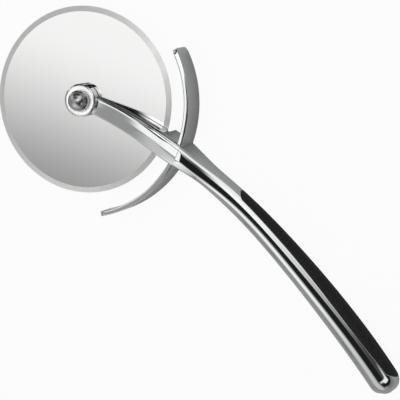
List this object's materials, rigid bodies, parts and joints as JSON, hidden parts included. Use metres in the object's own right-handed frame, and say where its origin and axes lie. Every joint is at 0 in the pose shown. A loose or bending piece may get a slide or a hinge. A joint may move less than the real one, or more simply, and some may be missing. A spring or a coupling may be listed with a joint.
{
  "type": "pizza cutter wheel",
  "caption": "Hand-held pizza wheel: polished blade on a one-sided cast arm, crescent finger guard and a long curved handle with a soft black inlay.",
  "frame": {"origin": "middle of the underside of the whole object, which lies on the side away from the hub's ball nut", "axes": "+X from the wheel toward the handle's end, +Z along the axle toward the ball nut, +Y toward the handle's back with the inlay"},
  "size_m": [0.2746, 0.1082, 0.0236],
  "materials": {
    "chromed_zinc": "polished chrome plate on die-cast zinc",
    "polished_blade": "polished stainless steel with a ground bevel",
    "polished_steel": "polished stainless steel",
    "plain_steel": "turned and zinc plated steel",
    "black_soft_grip": "matte black thermoplastic elastomer",
    "black_core": "moulded black polypropylene",
    "white_acetal": "turned natural acetal"
  },
  "bodies": {
    "root": {"arm_casting": "chromed_zinc", "handle_casting": "chromed_zinc", "finger_guard": "chromed_zinc", "clamp_screws": "plain_steel", "grip_inlay": "black_soft_grip", "grip_carrier": "black_core", "bezel_ring": "white_acetal", "ball_nut": "polished_steel", "axle_bolt": "polished_steel", "near_washer": "white_acetal", "spring_washer": "plain_steel", "far_washer": "plain_steel"},
    "wheel": {"blade": "polished_blade", "hub_bushing": "white_acetal"}
  },
  "joints": [
    {"name": "blade_spin", "type": "hinge", "parent": "root", "child": "wheel", "pos_m": [-0.08729, -0.00406, 0.0107], "axis": [0, 0, 1], "continuous": true}
  ]
}
